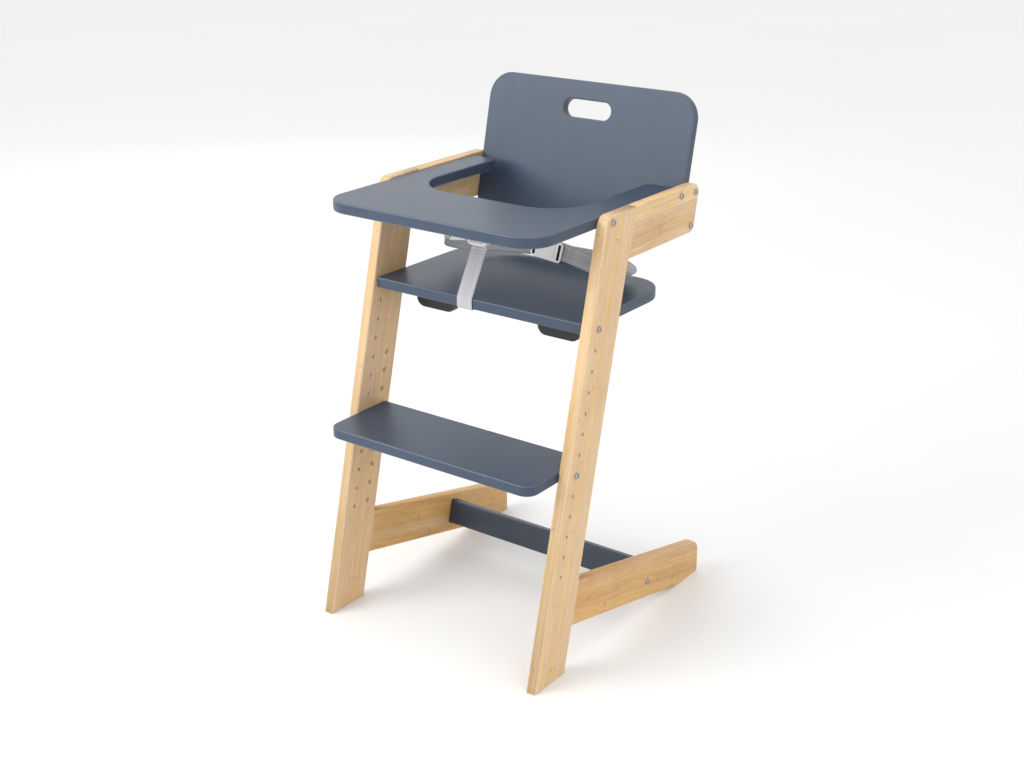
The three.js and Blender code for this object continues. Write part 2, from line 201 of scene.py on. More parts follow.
def bamboo(name, angle, along_z, seed, pale=(221, 190, 150), dark=(198, 160, 116), uneven=0.09):
    """Lacquered laminated bamboo: strips side by side, long fibres, a knuckle every so often, and
    a painted highlight along its rounded edges.
    """
    made, shader, start = new_material(name, Coat_Weight=0.2, Coat_Roughness=0.3)
    place = start.node("TexCoord", output="Object")
    turned = start.node("Mapping", {"Vector": place, "Rotation": (angle, 0, 0)})
    x, y, z = turned.split()
    along, across = (z, y) if along_z else (y, z)

    # strips show side by side on the faces, and as three layers on the edges
    face = abs(start.node("NewGeometry", output="Normal").split()[0]).ramp(0.6, 0.8)
    wavy = across + WAVINESS * (noise(start, turned, 7.0) - 0.5)
    strips = wavy / STRIP + seed * 0.37
    layer = (x * LAYERS + 40).maths("FLOOR")
    which = strips.maths("FLOOR") * face + (layer + 100) * (1 - face)

    # two chance values for each strip
    chance = start.node("TexWhiteNoise", {"W": which + 11.3 * seed}, noise_dimensions="1D")
    second = start.node("TexWhiteNoise", {"W": which * 1.7 + 5.1 * seed}, noise_dimensions="1D")
    seam = strips.maths("FRACT")
    seam = (1 - (seam.maths("MINIMUM", 1 - seam) * STRIP).ramp(0.1 * MM, 0.45 * MM)) * face

    # fibres: noise drawn out along the grain
    def fibres(fine, stretch, detail):
        parts = {0: x * fine, 1: across * fine, 2: along * stretch + seed}
        return noise(start, start.node("CombineXYZ", parts), 1.0, detail)

    fine = fibres(950, 34, 3.0)
    broad = fibres(210, 8.0, 2.0)
    cloud = noise(start, turned, 9.0, 3.0)

    # knuckles: a broken dark line across the strip with a brown smudge beside it
    ragged = noise(start, turned, 260.0, 2.0)
    step = along / KNUCKLE_SPACING + chance * 0.93 + 0.012 * (noise(start, turned, 45.0) - 0.5)
    near = (step.maths("FRACT") - 0.5) * KNUCKLE_SPACING
    line = (1 - abs(near).ramp(0.3 * MM, 1.2 * MM)) * ragged.ramp(0.42, 0.62)
    line = line * (0.3 + 0.7 * second)
    smudge = 1 - abs(near + 2.5 * MM).ramp(0.5 * MM, 6.0 * MM)
    smudge = smudge * fibres(300, 60, 2.0).ramp(0.45, 0.68) * second
    fleck = fibres(620, 70, 1.0).ramp(0.66, 0.8)

    tone = 0.48 * fine + 0.28 * broad + 0.24 * cloud
    base = tone.ramp(0.34, 0.66).mix(colour(*dark), colour(*pale))
    varied = start.node("HueSaturation", {
        "Hue": 0.5 + 0.010 * (chance - 0.5), "Saturation": 1.0 + 0.14 * (second - 0.5),
        "Value": 1.0 + uneven * (chance - 0.5), "Color": base,
    })
    brown = (line * 0.55 + smudge * 0.42 + fleck * 0.16 + seam * 0.16).maths("MINIMUM", 1.0)
    marked = brown.mix(varied, colour(142, 98, 58))
    edged = (start.mark("bore") * 0.35).mix(marked, colour(247, 228, 196))
    # painted highlight along the middle of each rounded edge, partly also paler worn wood
    edged = (start.mark("edge") ** 2.0 * 0.35).mix(edged, colour(243, 222, 188))
    bump = start.node("Bump", {
        "Strength": 0.15, "Distance": 0.0004, "Height": fine * 0.6 + line * 0.5 - seam * 0.5,
    })
    connect(shader, {
        "Base Color": edged, "Roughness": 0.34 + 0.16 * fine + 0.08 * cloud, "Normal": bump,
    })
    return made


def paint(name, seed, shade=(55, 69, 87)):
    """Satin sprayed paint: even colour, faint orange peel, soft rubbed patches, and a painted
    highlight along its rounded edges.
    """
    made, shader, start = new_material(name, Specular_IOR_Level=0.42)
    place = start.node("TexCoord", output="Object")
    shifted = start.node("Mapping", {"Vector": place, "Location": (seed, 2 * seed, 0)})
    patches = noise(start, shifted, 11.0, 4.0)
    peel = noise(start, shifted, 620.0, 2.0)
    grit = noise(start, shifted, 2600.0, 1.0)
    rubbed = noise(start, shifted, 38.0, 5.0, 0.7).ramp(0.56, 0.74)
    base = patches.ramp(0.3, 0.7).mix(colour(*shade), lighter(shade, 1.06))
    specked = (grit.ramp(0.68, 0.8) * 0.2).mix(base, lighter(shade, 1.5))
    # painted highlight: the middle of each rounded edge is mixed towards pale grey, more where the
    # paint is rubbed
    edge = start.mark("edge") ** 2.0 * (0.26 + 0.12 * rubbed)
    bump = start.node("Bump", {"Strength": 0.10, "Distance": 0.0003, "Height": peel + 0.3 * grit})
    connect(shader, {
        "Base Color": edge.mix(specked, colour(148, 155, 166)),
        "Roughness": 0.33 + 0.06 * patches - 0.06 * rubbed + 0.04 * peel,
        "Normal": bump,
    })
    return made


def metal(name, tint, rough):
    """Plated steel or turned brass: cloudy tone and a fine grain."""
    made, shader, start = new_material(name, Metallic=1.0)
    place = start.node("TexCoord", output="Object")
    fine = noise(start, place, 1800.0, 2.0)
    cloud = noise(start, place, 260.0, 2.0)
    bump = start.node("Bump", {"Strength": 0.08, "Distance": 0.0001, "Height": fine})
    shade = (cloud * 0.6).mix(colour(*tint), lighter(tint, 0.82))
    connect(shader, {"Base Color": shade, "Roughness": rough + 0.15 * fine, "Normal": bump})
    return made


RIB, WARP, SWAY = 1.5 * MM, 1.6 * MM, 2.4 * MM  # pitches of the weave
PALE_THREAD = 9.5 * MM  # from the webbing's middle
STITCH_ROW, STITCH, STITCHED_HALF = 5 * MM, 3 * MM, 12.5 * MM


def webbing(name, tint, stitched):
    """Woven webbing on its UV map (u across, v along, in metres): ribs of a plain weave, a pale
    thread along each side, and rows of dark stitches between the two distances of stitched."""
    made, shader, start = new_material(name, Sheen_Weight=0.25, Sheen_Roughness=0.5)
    u, v, _ = start.node("UVMap", uv_map="UVMap").split()
    wave = (u * (2 * math.pi / SWAY)).maths("SINE")
    rib = (v * (2 * math.pi / RIB) + 0.6 * wave).maths("SINE")
    warp = (u * (2 * math.pi / WARP)).maths("SINE")
    weave = 0.5 + 0.25 * rib + 0.25 * warp
    fuzz = noise(start, start.node("TexCoord", output="Object"), 900.0, 3.0)
    thread = 1 - abs(abs(u) - PALE_THREAD).ramp(0.7 * MM, 1.3 * MM)
    row = 1 - abs((v / STITCH_ROW).maths("FRACT") - 0.5).ramp(0.07, 0.13)
    stitch = row * (u / STITCH).maths("FRACT").ramp(0.15, 0.3)
    stitch = stitch * (v > stitched[0]) * (v < stitched[1]) * (abs(u) < STITCHED_HALF)
    tone = weave * 0.75 + fuzz * 0.35
    base = tone.ramp(0.15, 0.95).mix(lighter(tint, 0.78), colour(*tint))
    threaded = (thread * 0.2).mix(base, colour(236, 236, 238))
    sewn = (stitch * 0.7).mix(threaded, colour(112, 112, 118))
    height = weave + 0.4 * fuzz + 0.5 * stitch
    bump = start.node("Bump", {"Strength": 0.5, "Distance": 0.0005, "Height": height})
    connect(shader, {"Base Color": sewn, "Roughness": 0.78 + 0.15 * fuzz, "Normal": bump})
    return made


def moulded(name, tint):
    """Injection moulded plastic: fine spark-eroded texture, and painted shade inside its slots."""
    made, shader, start = new_material(name, Specular_IOR_Level=0.45)
    place = start.node("TexCoord", output="Object")
    grain = noise(start, place, 2200.0, 2.0)
    cloud = noise(start, place, 60.0, 3.0)
    base = cloud.mix(colour(*tint), lighter(tint, 0.94))
    bump = start.node("Bump", {"Strength": 0.12, "Distance": 0.0002, "Height": grain})
    connect(shader, {
        # the walls of its slots are painted near-black, as shade
        "Base Color": start.mark("bore").mix(base, colour(24, 24, 26)),
        "Roughness": 0.33 + 0.12 * grain, "Normal": bump,
    })
    return made


def pale_floor():
    """Almost white, matt, with the faintest clouds."""
    made, shader, start = new_material("pale_floor")
    place = start.node("TexCoord", output="Object")
    shade = noise(start, place, 0.8, 2.0).mix(colour(238, 238, 238), colour(242, 242, 241))
    connect(shader, {"Base Color": shade, "Roughness": 0.75 + 0.1 * noise(start, place, 5.0)})
    return made


floor_mesh = bpy.data.meshes.new("floor")
floor_corners = FLOOR_HALF * np.array([(-1, -1, 0), (1, -1, 0), (1, 1, 0), (-1, 1, 0)])
floor_mesh.from_pydata(floor_corners.tolist(), [], [(0, 1, 2, 3)])
floor_mesh.materials.append(pale_floor())
floor = bpy.data.objects.new("floor", floor_mesh)
bpy.context.scene.collection.objects.link(floor)


# ---------------------------------------------------------------- building surfaces

def piece(name, surface, material, body, replaced=(), uv=None, marks=None):
    """Mesh object of a surface (its points and its faces), riding on a body. Each mark is a named
    value for every point, which a material can read."""
    points, faces = surface
    mesh = bpy.data.meshes.new(name)
    mesh.from_pydata(np.asarray(points).tolist(), [], faces)
    mesh.materials.append(material)
    mesh.polygons.foreach_set("use_smooth", np.ones(len(mesh.polygons), bool))
    for mark, values in (marks or {}).items():
        mesh.attributes.new(mark, "FLOAT", "POINT").data.foreach_set("value", values)
    if uv is not None:
        corners = np.empty(len(mesh.loops), int)
        mesh.loops.foreach_get("vertex_index", corners)
        layer = mesh.uv_layers.new(name="UVMap")
        layer.data.foreach_set("uv", np.asarray(uv)[corners].ravel())
    mesh.update()
    made = bpy.data.objects.new(name, mesh)
    bpy.context.scene.collection.objects.link(made)
    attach(made, body)
    if replaced:
        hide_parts(*replaced)
    return made


GLUE_LINE_ROUND = 0.03  # share of the edge's rounding that is left at a glue line
FINE, COARSE = math.radians(6), math.radians(15)  # steps round an outline's corners


def rounded(corners, step=FINE):
    """Closed anticlockwise outline with each corner (a, b, radius, sharp) an arc that touches both
    of its sides: centre = corner + bisector * radius / sin(half the corner's angle).
    Also gives each edge's share of the rounding, which is small for the side after a corner
    marked sharp."""
    spots = np.array([corner[:2] for corner in corners], float)
    points, soft = [], []
    for i, corner in enumerate(corners):
        radius = corner[2] if len(corner) > 2 else 0
        sharp = len(corner) > 3 and corner[3]
        before = spots[i - 1] - spots[i]
        after = spots[(i + 1) % len(spots)] - spots[i]
        before, after = before / np.linalg.norm(before), after / np.linalg.norm(after)
        if radius:
            half = math.acos(np.clip(before @ after, -1, 1)) / 2
            bisector = (before + after) / np.linalg.norm(before + after)
            centre = spots[i] + bisector * radius / math.sin(half)
            first = spots[i] + before * radius / math.tan(half) - centre
            last = spots[i] + after * radius / math.tan(half) - centre
            turn = math.atan2(first[0] * last[1] - first[1] * last[0], first @ last)
            angle = math.atan2(first[1], first[0])
            angle = angle + turn * np.linspace(0, 1, max(3, round(abs(turn) / step)) + 1)
            arc = centre + radius * np.stack([np.cos(angle), np.sin(angle)], 1)
        else:
            arc = spots[i][None]
        points.append(arc)
        soft.append(np.r_[np.ones(len(arc) - 1), GLUE_LINE_ROUND if sharp else 1.0])
    return np.concatenate(points), np.concatenate(soft)


def rectangle(low, high, low_r, high_r, step=FINE):
    """Anticlockwise rectangle between the (a, b) spots low and high. Its two corners with low b
    are rounded by low_r, the other two by high_r."""
    return rounded([
        (low[0], low[1], low_r), (high[0], low[1], low_r),
        (high[0], high[1], high_r), (low[0], high[1], high_r),
    ], step)[0]


def circle(centre, radius, count=24):
    """Clockwise loop, as the holes of a board run."""
    angle = -np.linspace(0, 2 * np.pi, count, endpoint=False)
    return np.asarray(centre) + radius * np.stack([np.cos(angle), np.sin(angle)], 1)


def inset(loop, amount):
    """The loop with edge i moved by amount[i] to its left, into the material: each corner goes to
    where its two moved edges meet, which is d with d.n1 = amount1 and d.n2 = amount2."""
    ahead = np.roll(loop, -1, 0) - loop
    ahead /= np.linalg.norm(ahead, axis=1, keepdims=True)
    n2 = np.stack([-ahead[:, 1], ahead[:, 0]], 1)
    n1 = np.roll(n2, 1, 0)
    a2 = np.broadcast_to(amount, len(loop)).astype(float)
    a1 = np.roll(a2, 1)
    dot = (n1 * n2).sum(1)
    straight = dot > 0.99999
    scale = np.where(straight, 1, 1 - dot**2)
    meet = (a1 - a2 * dot)[:, None] * n1 + (a2 - a1 * dot)[:, None] * n2
    moved = np.where(straight[:, None], a2[:, None] * n2, meet / scale[:, None])
    return loop + moved


def inside(loop, spots):
    """Which spots lie in the loop: those whose ray along +a crosses it an odd number of times."""
    a0, b0 = loop.T[:, :, None]
    a1, b1 = np.roll(loop, -1, 0).T[:, :, None]
    a, b = spots.T
    crosses = (b0 > b) != (b1 > b)
    reach = a0 + (b - b0) * (a1 - a0) / np.where(b1 == b0, 1e-12, b1 - b0)
    return (crosses & (a < reach)).sum(0) % 2 == 1


def cap(loops, firsts):
    """Triangles of the flat face between the first loop and the others, as numbers of points."""
    spots = np.concatenate(loops)
    numbers = np.concatenate([first + np.arange(len(loop)) for loop, first in zip(loops, firsts)])
    sizes = np.cumsum([0] + [len(loop) for loop in loops])
    edges = [
        (first + i, first + (i + 1) % (end - first))
        for first, end in zip(sizes, sizes[1:]) for i in range(end - first)
    ]
    found = delaunay_2d_cdt([Vector(spot) for spot in spots], edges, [], 0, 1e-9)
    triangles = np.array(found[2])
    source = np.array([origin[0] if origin else -1 for origin in found[3]])
    triangles = source[triangles]
    middles = spots[triangles].mean(1)
    keep = inside(loops[0], middles)
    for hole in loops[1:]:
        keep &= ~inside(hole, middles)
    triangles = triangles[keep]
    p = spots[triangles]
    turn = np.cross(p[:, 1] - p[:, 0], p[:, 2] - p[:, 0])
    triangles[turn < 0] = triangles[turn < 0][:, ::-1]
    return numbers[triangles]


EDGE_STEPS = 6  # steps of a rounded edge, from the face to the side
SUPPORT = 0.35 * MM  # flat rim inside a rounded edge, which keeps the face's shading flat


def board(outline, low, high, radius, place, holes=(), soft=None):
    """Board of an outline in a, b between depths low and high, its edges rounded over.
    Ring k of the rim is the outline inset by radius * (1 - sin t) at depth radius * (1 - cos t),
    with t from 0 on a face to a right angle on the side. A hole is (loop, rim radius, depth,
    from): a depth of None is right through, and from is 0 for the low face or 1 for the high one.
    place turns rows of (a, b, depth) into points. Also gives the points' marks: bore, 1 in a hole,
    and edge, sin 2t, which is 1 along the middle of a rounding."""
    t = np.linspace(0, np.pi / 2, EDGE_STEPS + 1)
    points, faces, bored, edged = [], [], [], []
    count = 0
    caps = {0: [], 1: []}

    def wall(loop, rim, weights, bottom, top, open_low, open_high):
        """Rings of a loop from depth bottom to top, rounded where the wall meets an open face."""
        nonlocal count
        insets = np.r_[rim + min(SUPPORT, 0.3 * rim), rim * (1 - np.sin(t))]
        depths = np.r_[0, rim * (1 - np.cos(t))]
        edge = np.r_[0, np.sin(2 * t)]
        rows = []
        if open_low:
            rows += list(zip(insets, bottom + depths, edge))
        else:
            rows += [(0, bottom, 0)]
        if open_high:
            rows += list(zip(insets[::-1], top - depths[::-1], edge[::-1]))
        else:
            rows += [(0, top, 0)]
        size = len(loop)
        rings = []
        for amount, depth, share in rows:
            ring = inset(loop, amount * weights)
            rings.append(ring)
            points.append(np.c_[ring, np.full(size, depth)])
            bored.append(np.full(size, 0.0 if loop is outline or amount > rim else 1.0))
            edged.append(share * weights)
        index = count + np.arange(size * len(rows)).reshape(len(rows), size)
        after = np.roll(index, -1, 1)
        quads = np.stack([index[:-1], after[:-1], after[1:], index[1:]], -1)
        faces.extend(quads.reshape(-1, 4).tolist())
        count += size * len(rows)
        if open_low:
            caps[0].append((rings[0], index[0, 0]))
        else:
            faces.append(index[0][::-1].tolist())
        if open_high:
            caps[1].append((rings[-1], index[-1, 0]))
        else:
            faces.append(index[-1].tolist())

    weights = np.ones(len(outline)) if soft is None else soft
    wall(outline, radius, weights, low, high, True, True)
    for loop, rim, depth, start in holes:
        bottom = low if depth is None or start == 0 else high - depth
        top = high if depth is None or start == 1 else low + depth
        wall(loop, rim, np.ones(len(loop)), bottom, top,
             depth is None or start == 0, depth is None or start == 1)
    for end, found in caps.items():
        triangles = cap([loop for loop, _ in found], [first for _, first in found])
        faces.extend((triangles if end else triangles[:, ::-1]).tolist())
    a, b, depth = np.concatenate(points).T
    marks = {"bore": np.concatenate(bored), "edge": np.concatenate(edged)}
    return (np.stack(place(a, b, depth), 1), faces), marks


def side_on(a, b, depth):
    """Outline in y and z, thickness along x."""
    return depth, a, b


def level(a, b, depth):
    """Outline in x and y, thickness along z."""
    return a, b, depth


# ---------------------------------------------------------------- side frames

FRAME_ROUND = 3 * MM
HOLE_PITCH = 33 * MM
BOLT_HOLE_R = 3.5 * MM
PEG_HOLE_R = 5 * MM
PEG_HOLE_DEPTH = 12 * MM
ROW_SPACING = 34 * MM
FRONT_ROW_HOLES = 13
FIRST_REAR_HOLE = 4
HOLE_RIM = 0.45 * MM
FILLED_HOLE_RIM = 0.15 * MM  # where a bolt's head always covers the hole


def middle(node):
    """Middle of a CAD node's box."""
    low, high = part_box(node)
    return (low + high) / 2


post_low, post_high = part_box("post_left")
arm_low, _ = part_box("arm_left")
foot_low, foot_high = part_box("foot_left")
slope = math.tan(LEAN)
post_front = post_low.y
arm_top = post_high.z
post_rear = post_high.y - arm_top * slope  # where the post's rear edge meets the floor
INNER, OUTER = post_low.x, post_high.x

seat_bolt = middle("seat_bolt_left")
front_holes = [
    (seat_bolt.y - i * HOLE_PITCH * math.sin(LEAN), seat_bolt.z - i * HOLE_PITCH * math.cos(LEAN))
    for i in range(FRONT_ROW_HOLES)
]
rear_holes = [(y + ROW_SPACING, z) for y, z in front_holes[FIRST_REAR_HOLE:]]
bolt_names = [
    "tray_front_bolt", "tray_rear_bolt", "backrest_upper_bolt", "backrest_lower_bolt",
    "stretcher_bolt",
]
bolt_spots = {name: (middle(name + "_left").y, middle(name + "_left").z) for name in bolt_names}
peg_spot = (middle("stretcher_peg_left").y, middle("stretcher_peg_left").z)

# Corners are (y, z, radius, True where the side that follows is a glue line). The rounding of a
# post's rear edge runs out over FRAME_ROUND where another board starts.
FOOT_FLAT = 68.5 * MM  # length of the foot board's cut that lies on the floor
FOOT_REAR_TOP = 61.3 * MM  # height at which its top edge would meet its rear end
ARM_END_LOW = post_front + 442 * MM
ARM_END_HIGH = post_front + 458.5 * MM
POST_TOP_R, ARM_END_R, FOOT_END_R = 20 * MM, 14 * MM, 24 * MM


def rear_of_post(height):
    """(y, z) of the post's rear edge at a height."""
    return post_rear + height * slope, height


foot_under = (foot_low.y - post_rear) / slope
boards_of_a_side = {
    "post": [
        (post_front, 0), (post_rear, 0), rear_of_post(foot_under),
        (*rear_of_post(foot_under + FRAME_ROUND), 0, True),
        (*rear_of_post(foot_high.z - FRAME_ROUND), 0, True),
        rear_of_post(foot_high.z), rear_of_post(arm_low.z),
        (*rear_of_post(arm_low.z + FRAME_ROUND), 0, True),
        rear_of_post(arm_top), (post_front + arm_top * slope, arm_top, POST_TOP_R),
    ],
    "arm": [
        rear_of_post(arm_low.z), (ARM_END_LOW, arm_low.z, ARM_END_R),
        (ARM_END_HIGH, arm_top, ARM_END_R), (*rear_of_post(arm_top), 0, True),
    ],
    "foot": [
        rear_of_post(foot_under), (foot_high.y - FOOT_FLAT, 0), (foot_high.y, 0),
        (foot_high.y, FOOT_REAR_TOP, FOOT_END_R), (*rear_of_post(foot_high.z), 0, True),
    ],
}

# turn of the grain, whether it runs upwards, pale and dark wood, how much the strips differ
bamboos = {
    "post": (LEAN, True, (221, 189, 146), (202, 164, 115), 0.06),
    "arm": (0.0, False, (219, 187, 143), (194, 155, 107), 0.2),
    "foot": (LEAN, False, (212, 172, 117), (184, 140, 84)),
}
for number, (word, side) in enumerate(SIDES.items()):
    low, high = sorted((side * INNER, side * OUTER))
    inner_face = 0 if side > 0 else 1
    holes = [(spot, BOLT_HOLE_R, HOLE_RIM, None) for spot in front_holes]
    holes += [(spot, BOLT_HOLE_R, FILLED_HOLE_RIM, None) for spot in bolt_spots.values()]
    holes += [(spot, PEG_HOLE_R, HOLE_RIM, PEG_HOLE_DEPTH) for spot in [*rear_holes, peg_spot]]
    for seed, (part, corners) in enumerate(boards_of_a_side.items()):
        outline, soft = rounded(corners)
        spots = np.array([hole[0] for hole in holes])
        mine = [
            (circle(spot, radius), rim, depth, inner_face)
            for (spot, radius, rim, depth), here in zip(holes, inside(outline, spots)) if here
        ]
        surface, marks = board(outline, low, high, FRAME_ROUND, side_on, mine, soft)
        turn, upwards, *woods = bamboos[part]
        finish = bamboo(f"bamboo_{part}_{word}", turn, upwards, seed + 3.7 * number, *woods)
        piece(f"{part}_board_{word}", surface, finish, "frame", [f"{part}_{word}"],
              marks=marks)


# ---------------------------------------------------------------- painted boards

PAINTED_ROUND = 2.5 * MM
SQUARE_R = 3 * MM  # the least that a corner of a painted board is rounded

tray_low, tray_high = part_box("tray")
WING = 53 * MM
TRAY_CUT_DEPTH = 154 * MM  # from the tray's front edge to its cut-out
TRAY_FRONT_R, TRAY_CUT_R, WING_END_R = 48 * MM, 80 * MM, 13 * MM
wing_inner = tray_high.x - WING
cut_front = tray_low.y + TRAY_CUT_DEPTH
tray_outline, _ = rounded([
    (tray_low.x, tray_low.y, TRAY_FRONT_R), (tray_high.x, tray_low.y, TRAY_FRONT_R),
    (tray_high.x, tray_high.y, WING_END_R), (wing_inner, tray_high.y, WING_END_R),
    (wing_inner, cut_front, TRAY_CUT_R), (-wing_inner, cut_front, TRAY_CUT_R),
    (-wing_inner, tray_high.y, WING_END_R), (tray_low.x, tray_high.y, WING_END_R),
])
surface, marks = board(tray_outline, tray_low.z, tray_high.z, PAINTED_ROUND, level)
piece("tray_board", surface, paint("paint_tray", 0.3), "frame", ["tray"], marks=marks)

SEAT_REAR_R = 60 * MM
seat_low, seat_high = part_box("seat")
seat_outline = rectangle(seat_low.xy, seat_high.xy, SQUARE_R, SEAT_REAR_R)
surface, marks = board(seat_outline, seat_low.z, seat_high.z, PAINTED_ROUND, level)
piece("seat_board", surface, paint("paint_seat", 1.1), "seat", ["seat"], marks=marks)

FOOTREST_FRONT_R = 22 * MM
rest_low, rest_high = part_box("footrest")
rest_outline = rectangle(rest_low.xy, rest_high.xy, FOOTREST_FRONT_R, SQUARE_R)
surface, marks = board(rest_outline, rest_low.z, rest_high.z, PAINTED_ROUND, level)
piece("footrest_board", surface, paint("paint_footrest", 2.3), "footrest", ["footrest"],
      marks=marks)

# Backrest: the line through its two bolts gives its lean
BACK_T = 17 * MM
BACK_BOTTOM_R, BACK_TOP_R = 6 * MM, 44 * MM
HANDLE_HALF = 47.5 * MM
HANDLE_R = 15 * MM
HANDLE_BELOW_TOP = 47 * MM
BOLTS_AHEAD = 1.5 * MM  # of the board's middle plane
upper, lower = middle("backrest_upper_bolt_left"), middle("backrest_lower_bolt_left")
back_lean = math.atan2(upper.y - lower.y, upper.z - lower.z)
back_low, back_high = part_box("backrest")


def leaning(a, b, depth):
    """Outline in x and up the backrest from its upper bolts, thickness towards the front."""
    y = upper.y + BOLTS_AHEAD + b * math.sin(back_lean) - depth * math.cos(back_lean)
    z = upper.z + b * math.cos(back_lean) + depth * math.sin(back_lean)
    return a, y, z


half_tilt = BACK_T / 2 * math.sin(back_lean)
back_bottom = (back_low.z + half_tilt - upper.z) / math.cos(back_lean)
back_top = (back_high.z - half_tilt - upper.z) / math.cos(back_lean)
back_outline = rectangle((back_low.x, back_bottom), (back_high.x, back_top),
                         BACK_BOTTOM_R, BACK_TOP_R)
handle_mid = back_top - HANDLE_BELOW_TOP
handle_corner_r = 0.999 * HANDLE_R  # so that the slot's two arcs at an end don't quite meet
handle = rectangle((-HANDLE_HALF, handle_mid - HANDLE_R), (HANDLE_HALF, handle_mid + HANDLE_R),
                   handle_corner_r, handle_corner_r)
handle_hole = (handle[::-1], PAINTED_ROUND, None, 0)
surface, marks = board(back_outline, -BACK_T / 2, BACK_T / 2, PAINTED_ROUND, leaning,
                       [handle_hole])
piece("backrest_board", surface, paint("paint_backrest", 3.9), "frame", ["backrest"],
      marks=marks)

# Stretcher: an upright bar turned with the foot boards
BAR_T, BAR_H, BAR_ROUND = 18 * MM, 45 * MM, 3 * MM
BAR_END_ROUND = 0.5 * MM
bar_middle = middle("stretcher")
bar_low, bar_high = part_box("stretcher")


def turned_bar(a, b, depth):
    """Outline square to the foot boards, thickness along x."""
    y = bar_middle.y + a * math.cos(LEAN) + b * math.sin(LEAN)
    z = bar_middle.z - a * math.sin(LEAN) + b * math.cos(LEAN)
    return depth, y, z


bar_outline = rectangle((-BAR_T / 2, -BAR_H / 2), (BAR_T / 2, BAR_H / 2),
                        BAR_ROUND, BAR_ROUND, COARSE)
surface, marks = board(bar_outline, bar_low.x, bar_high.x, BAR_END_ROUND, turned_bar)
piece("stretcher_bar", surface, paint("paint_stretcher", 5.2, (50, 59, 73)), "frame",
      ["stretcher"], marks=marks)


def facing_front(y_high):
    """Outline in x and z, thickness towards the front from y_high."""
    return lambda a, b, depth: (a, y_high - depth, b)


TAB_R = 16 * MM
for word, side in SIDES.items():
    low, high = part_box(f"seat_tab_{word}")
    outline = rectangle(low.xz, high.xz, TAB_R, 0)
    surface, marks = board(outline, 0, high.y - low.y, PAINTED_ROUND, facing_front(high.y))
    piece(f"tab_{word}", surface, paint(f"paint_tab_{word}", 6.1 + side, (27, 30, 35)), "seat",
          [f"seat_tab_{word}"], marks=marks)


# ---------------------------------------------------------------- what holds it together

HEAD_T = 3.2 * MM
SHANK_R = 3 * MM
SHANK_TIP = 0.5 * MM  # the chamfer at a shank's end
# Button head from the shank outwards, then down its socket: (radius, height, how hexagonal)
HEAD = np.array([
    (3.0, 0.0, 0), (4.9, 0.0, 0), (5.22, 0.12, 0), (5.3, 0.4, 0), (5.26, 0.72, 0),
    (5.1, 1.15, 0), (4.8, 1.65, 0), (4.4, 2.12, 0), (3.95, 2.52, 0), (3.5, 2.84, 0),
    (3.1, 3.05, 0), (2.85, 3.15, 0), (2.7, 3.2, 0),
    (2.5, 3.12, 1), (2.32, 2.9, 1), (2.3, 2.6, 1), (2.3, 1.5, 1), (1.7, 1.35, 0.5),
]) * (MM, MM, 1)


def revolved(rows, centre, side, count=48):
    """Surface about the x axis. A row's circle of the given radius is drawn towards a hexagon with
    that radius at its corners: cos 30 / cos(t mod 60 - 30) times the radius at angle t."""
    radius, out, hexagon = (column[:, None] for column in np.asarray(rows, float).T)
    t = np.linspace(0, 2 * np.pi, count, endpoint=False)
    flat = math.cos(math.pi / 6) / np.cos(t % (math.pi / 3) - math.pi / 6)
    radius = radius * (1 + hexagon * (flat - 1))
    x = centre.x + side * out + 0 * radius
    points = np.stack([x, centre.y + radius * np.cos(t), centre.z + radius * np.sin(t)], -1)
    points = points.reshape(-1, 3)
    index = np.arange(len(points)).reshape(-1, count)
    after = np.roll(index, -1, 1)
    faces = np.stack([index[:-1], after[:-1], after[1:], index[1:]], -1).reshape(-1, 4).tolist()
    faces += [index[0][::-1].tolist(), index[-1].tolist()]
    return points, faces if side > 0 else [face[::-1] for face in faces]


steel = metal("plated_steel", (172, 173, 175), 0.3)
brass = metal("turned_brass", (205, 170, 104), 0.3)
beech = bamboo("peg_beech", 0.0, False, 9.1)
bodies = {"seat_bolt": "seat", "footrest_bolt": "footrest"}
for name in [*bolt_names, *bodies]:
    for word, side in SIDES.items():
        low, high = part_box(f"{name}_{word}")
        under_head = (high.x if side > 0 else -low.x) - HEAD_T
        shank = high.x - low.x - HEAD_T
        rows = HEAD
        if shank > MM:  # the seat's bolts have none
            tip = [(SHANK_R - SHANK_TIP, -shank, 0), (SHANK_R, -shank + SHANK_TIP, 0)]
            rows = np.r_[tip, HEAD]
        spot = Vector((side * under_head, (low.y + high.y) / 2, (low.z + high.z) / 2))
        piece(f"{name}_head_{word}", revolved(rows, spot, side), steel, bodies.get(name, "frame"),
              [f"{name}_{word}"])

for name, node in frame["nodes"].items():
    if "_insert_" in name or "_peg_" in name:
        node.data.materials.clear()
        node.data.materials.append(brass if "_insert_" in name else beech)


# ---------------------------------------------------------------- harness

WEB_W = 30 * MM
WEB_T = 1.6 * MM
CLEAR = 0.3 * MM
STAND_OFF = WEB_T / 2 + CLEAR  # webbing's middle over the board that it lies on
BELT_GREY = (188, 188, 193)


CURVE_STEPS = 60  # between two spots of a path, before its points are spaced evenly


